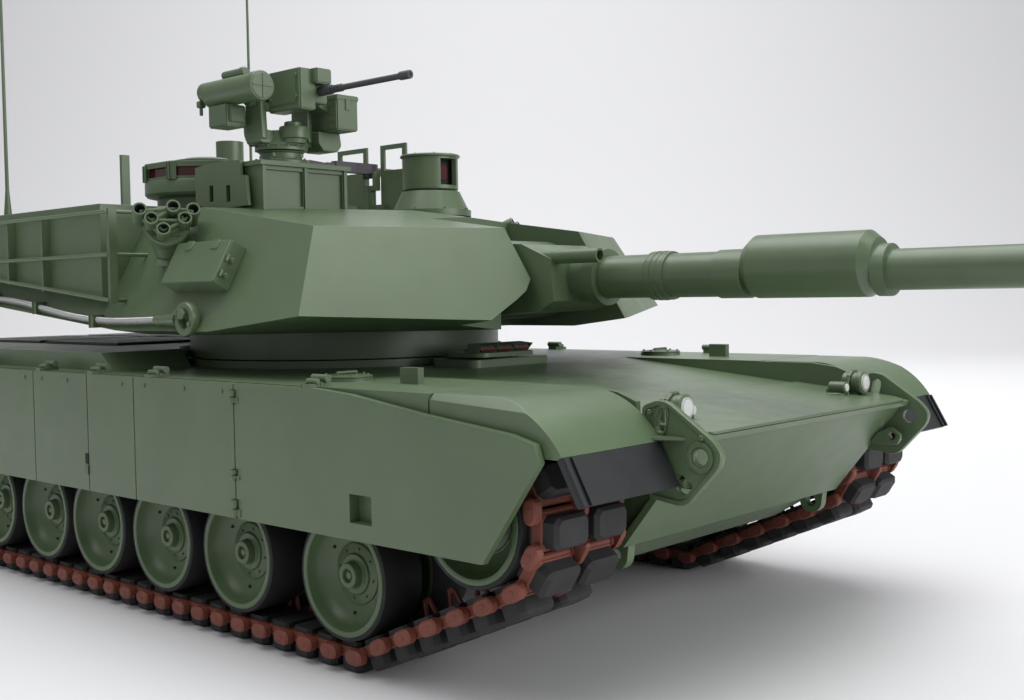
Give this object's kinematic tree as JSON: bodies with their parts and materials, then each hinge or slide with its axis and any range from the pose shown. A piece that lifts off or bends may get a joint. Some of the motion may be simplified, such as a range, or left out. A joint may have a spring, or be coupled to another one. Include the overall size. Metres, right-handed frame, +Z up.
{
  "type": "rc tank",
  "caption": "Scale radio-controlled battle tank with a turning turret, elevating gun, hinged hatches and skirts, and wheels inside continuous tracks.",
  "frame": {"origin": "middle of the whole model's footprint, on the ground under the track pads", "axes": "+Z up, -Y is the way the tank and its gun point, -X is the tank's own right-hand side"},
  "size_m": [0.2314, 0.615, 0.322],
  "materials": {
    "green_hull": "semi-matte NATO-type green paint",
    "green_metal": "semi-matte green paint over metal",
    "green_wheel": "semi-matte green paint, dark rubber tyres",
    "track_brown": "rust-brown links with dark grey rubber pads",
    "rubber_black": "matte black rubber",
    "steel_cable": "bright twisted steel wire",
    "dark_gun": "dark grey gun metal paint",
    "red_glass": "dark red glossy vision blocks",
    "bright_arm": "machined aluminium arms painted green outside",
    "motor_case": "zinc motor cans with plastic gearboxes",
    "battery_wrap": "blue shrink wrap",
    "board_green": "green circuit board",
    "switch_black": "black switch"
  },
  "bodies": {
    "root": {"battery_pack": "battery_wrap", "control_board": "board_green", "drive_units": "motor_case", "engine_grilles": "green_hull", "front_mudguards": "green_hull", "headlights": "green_hull", "hull_fittings": "green_hull", "hull_tub": "green_hull", "lifting_brackets": "green_metal", "mud_flaps": "rubber_black", "side_skirts": "green_hull", "skirt_hinges": "green_metal", "speaker": "switch_black", "suspension_arms": "bright_arm", "tow_eyes": "green_hull", "track_left": "track_brown", "track_right": "track_brown", "upper_hull": "green_hull"},
    "turret": {"turret_shell": "green_hull", "turret_base": "green_hull", "sight_housing": "green_hull", "stowage_bins": "green_hull", "bustle_rack": "green_metal", "smoke_launchers": "green_hull", "tow_cable": "steel_cable", "commander_cupola": "green_hull", "vision_blocks": "red_glass", "antennas": "green_metal", "weapon_station_base": "green_hull"},
    "mantlet": {"gun_mantlet": "green_hull"},
    "barrel": {"gun_barrel": "green_metal"},
    "commander_hatch_lid": {"commander_hatch": "green_hull"},
    "loader_hatch_lid": {"loader_hatch": "green_hull"},
    "driver_hatch_lid": {"driver_hatch": "green_hull", "driver_periscopes": "red_glass"},
    "sight_head": {"panoramic_sight": "green_hull"},
    "loader_mount": {"loader_gun_mount": "green_hull"},
    "loader_gun": {"loader_machine_gun": "dark_gun"},
    "station_yoke": {"weapon_station_yoke": "green_hull"},
    "station_gun": {"weapon_station_gun": "green_metal"},
    "right_front_skirt": {"front_skirt_right": "green_hull"},
    "left_front_skirt": {"front_skirt_left": "green_hull"},
    "switch_slider": {"power_switch": "switch_black"},
    "road_wheel_right_1_body": {"road_wheel_right_1": "green_wheel"},
    "road_wheel_right_2_body": {"road_wheel_right_2": "green_wheel"},
    "road_wheel_right_3_body": {"road_wheel_right_3": "green_wheel"},
    "road_wheel_right_4_body": {"road_wheel_right_4": "green_wheel"},
    "road_wheel_right_5_body": {"road_wheel_right_5": "green_wheel"},
    "road_wheel_right_6_body": {"road_wheel_right_6": "green_wheel"},
    "road_wheel_right_7_body": {"road_wheel_right_7": "green_wheel"},
    "idler_wheel_right_body": {"idler_wheel_right": "green_wheel"},
    "sprocket_right_body": {"sprocket_right": "green_wheel"},
    "road_wheel_left_1_body": {"road_wheel_left_1": "green_wheel"},
    "road_wheel_left_2_body": {"road_wheel_left_2": "green_wheel"},
    "road_wheel_left_3_body": {"road_wheel_left_3": "green_wheel"},
    "road_wheel_left_4_body": {"road_wheel_left_4": "green_wheel"},
    "road_wheel_left_5_body": {"road_wheel_left_5": "green_wheel"},
    "road_wheel_left_6_body": {"road_wheel_left_6": "green_wheel"},
    "road_wheel_left_7_body": {"road_wheel_left_7": "green_wheel"},
    "idler_wheel_left_body": {"idler_wheel_left": "green_wheel"},
    "sprocket_left_body": {"sprocket_left": "green_wheel"}
  },
  "joints": [
    {"name": "turret_turn", "type": "hinge", "parent": "root", "child": "turret", "pos_m": [0, 0.0385, 0.095], "axis": [0, 0, 1], "continuous": true},
    {"name": "gun_elevation", "type": "hinge", "parent": "turret", "child": "mantlet", "pos_m": [0, -0.0555, 0.1212], "axis": [-1, 0, 0], "range_deg": [-5, 20]},
    {"name": "gun_recoil", "type": "slide", "parent": "mantlet", "child": "barrel", "axis": [0, 1, 0], "range_m": [0, 0.01], "stiffness_N_per_m": 150},
    {"name": "commander_hatch_hinge", "type": "hinge", "parent": "turret", "child": "commander_hatch_lid", "pos_m": [-0.04, 0.0987, 0.1745], "axis": [-1, 0, 0], "range_deg": [0, 90]},
    {"name": "loader_hatch_swing", "type": "hinge", "parent": "turret", "child": "loader_hatch_lid", "pos_m": [0.03, 0.1055, 0.1546], "axis": [0, 0, -1], "range_deg": [0, 60]},
    {"name": "driver_hatch_swing", "type": "hinge", "parent": "root", "child": "driver_hatch_lid", "pos_m": [0.015, -0.0425, 0.092], "axis": [0, 0, 1], "range_deg": [0, 100]},
    {"name": "panoramic_sight_turn", "type": "hinge", "parent": "turret", "child": "sight_head", "pos_m": [0.038, 0.0235, 0.1623], "axis": [0, 0, 1], "continuous": true},
    {"name": "loader_mount_turn", "type": "hinge", "parent": "turret", "child": "loader_mount", "pos_m": [0.03, 0.0795, 0.152], "axis": [0, 0, -1], "range_deg": [-15, 60]},
    {"name": "loader_gun_elevation", "type": "hinge", "parent": "loader_mount", "child": "loader_gun", "pos_m": [0.052, 0.0795, 0.174], "axis": [0, -1, 0], "range_deg": [-10, 20]},
    {"name": "weapon_station_turn", "type": "hinge", "parent": "turret", "child": "station_yoke", "pos_m": [-0.042, 0.0265, 0.174], "axis": [0, 0, 1], "range_deg": [-160, 160]},
    {"name": "weapon_station_elevation", "type": "hinge", "parent": "station_yoke", "child": "station_gun", "pos_m": [-0.042, 0.0265, 0.1945], "axis": [-1, 0, 0], "range_deg": [-8, 60]},
    {"name": "front_skirt_right_hinge", "type": "hinge", "parent": "root", "child": "right_front_skirt", "pos_m": [-0.11475, -0.04, 0.065], "axis": [0, 0, -1], "range_deg": [0, 100]},
    {"name": "front_skirt_left_hinge", "type": "hinge", "parent": "root", "child": "left_front_skirt", "pos_m": [0.11475, -0.04, 0.065], "axis": [0, 0, 1], "range_deg": [0, 100]},
    {"name": "power_switch_slide", "type": "slide", "parent": "root", "child": "switch_slider", "axis": [1, 0, 0], "range_m": [0, 0.005]},
    {"name": "road_wheel_right_1_spin", "type": "hinge", "parent": "root", "child": "road_wheel_right_1_body", "pos_m": [0, -0.0835, 0.0301], "axis": [1, 0, 0], "continuous": true},
    {"name": "road_wheel_right_2_spin", "type": "hinge", "parent": "root", "child": "road_wheel_right_2_body", "pos_m": [0, -0.0289, 0.0301], "axis": [1, 0, 0], "continuous": true},
    {"name": "road_wheel_right_3_spin", "type": "hinge", "parent": "root", "child": "road_wheel_right_3_body", "pos_m": [0, 0.017, 0.0301], "axis": [1, 0, 0], "continuous": true},
    {"name": "road_wheel_right_4_spin", "type": "hinge", "parent": "root", "child": "road_wheel_right_4_body", "pos_m": [0, 0.0616, 0.0301], "axis": [1, 0, 0], "continuous": true},
    {"name": "road_wheel_right_5_spin", "type": "hinge", "parent": "root", "child": "road_wheel_right_5_body", "pos_m": [0, 0.1043, 0.0301], "axis": [1, 0, 0], "continuous": true},
    {"name": "road_wheel_right_6_spin", "type": "hinge", "parent": "root", "child": "road_wheel_right_6_body", "pos_m": [0, 0.1485, 0.0301], "axis": [1, 0, 0], "continuous": true},
    {"name": "road_wheel_right_7_spin", "type": "hinge", "parent": "root", "child": "road_wheel_right_7_body", "pos_m": [0, 0.1925, 0.0301], "axis": [1, 0, 0], "continuous": true},
    {"name": "idler_wheel_right_spin", "type": "hinge", "parent": "root", "child": "idler_wheel_right_body", "pos_m": [0, -0.1385, 0.0535], "axis": [1, 0, 0], "continuous": true},
    {"name": "sprocket_right_spin", "type": "hinge", "parent": "root", "child": "sprocket_right_body", "pos_m": [0, 0.2515, 0.05], "axis": [1, 0, 0], "continuous": true},
    {"name": "road_wheel_left_1_spin", "type": "hinge", "parent": "root", "child": "road_wheel_left_1_body", "pos_m": [0, -0.0835, 0.0301], "axis": [1, 0, 0], "continuous": true},
    {"name": "road_wheel_left_2_spin", "type": "hinge", "parent": "root", "child": "road_wheel_left_2_body", "pos_m": [0, -0.0289, 0.0301], "axis": [1, 0, 0], "continuous": true},
    {"name": "road_wheel_left_3_spin", "type": "hinge", "parent": "root", "child": "road_wheel_left_3_body", "pos_m": [0, 0.017, 0.0301], "axis": [1, 0, 0], "continuous": true},
    {"name": "road_wheel_left_4_spin", "type": "hinge", "parent": "root", "child": "road_wheel_left_4_body", "pos_m": [0, 0.0616, 0.0301], "axis": [1, 0, 0], "continuous": true},
    {"name": "road_wheel_left_5_spin", "type": "hinge", "parent": "root", "child": "road_wheel_left_5_body", "pos_m": [0, 0.1043, 0.0301], "axis": [1, 0, 0], "continuous": true},
    {"name": "road_wheel_left_6_spin", "type": "hinge", "parent": "root", "child": "road_wheel_left_6_body", "pos_m": [0, 0.1485, 0.0301], "axis": [1, 0, 0], "continuous": true},
    {"name": "road_wheel_left_7_spin", "type": "hinge", "parent": "root", "child": "road_wheel_left_7_body", "pos_m": [0, 0.1925, 0.0301], "axis": [1, 0, 0], "continuous": true},
    {"name": "idler_wheel_left_spin", "type": "hinge", "parent": "root", "child": "idler_wheel_left_body", "pos_m": [0, -0.1385, 0.0535], "axis": [1, 0, 0], "continuous": true},
    {"name": "sprocket_left_spin", "type": "hinge", "parent": "root", "child": "sprocket_left_body", "pos_m": [0, 0.2515, 0.05], "axis": [1, 0, 0], "continuous": true}
  ],
  "couplings": [
    {"joint": "road_wheel_right_1_spin", "follows": "sprocket_right_spin", "ratio": 0.877},
    {"joint": "road_wheel_right_2_spin", "follows": "sprocket_right_spin", "ratio": 0.877},
    {"joint": "road_wheel_right_3_spin", "follows": "sprocket_right_spin", "ratio": 0.877},
    {"joint": "road_wheel_right_4_spin", "follows": "sprocket_right_spin", "ratio": 0.877},
    {"joint": "road_wheel_right_5_spin", "follows": "sprocket_right_spin", "ratio": 0.877},
    {"joint": "road_wheel_right_6_spin", "follows": "sprocket_right_spin", "ratio": 0.877},
    {"joint": "road_wheel_right_7_spin", "follows": "sprocket_right_spin", "ratio": 0.877},
    {"joint": "idler_wheel_right_spin", "follows": "sprocket_right_spin", "ratio": 0.9158},
    {"joint": "road_wheel_left_1_spin", "follows": "sprocket_left_spin", "ratio": 0.877},
    {"joint": "road_wheel_left_2_spin", "follows": "sprocket_left_spin", "ratio": 0.877},
    {"joint": "road_wheel_left_3_spin", "follows": "sprocket_left_spin", "ratio": 0.877},
    {"joint": "road_wheel_left_4_spin", "follows": "sprocket_left_spin", "ratio": 0.877},
    {"joint": "road_wheel_left_5_spin", "follows": "sprocket_left_spin", "ratio": 0.877},
    {"joint": "road_wheel_left_6_spin", "follows": "sprocket_left_spin", "ratio": 0.877},
    {"joint": "road_wheel_left_7_spin", "follows": "sprocket_left_spin", "ratio": 0.877},
    {"joint": "idler_wheel_left_spin", "follows": "sprocket_left_spin", "ratio": 0.9158}
  ]
}
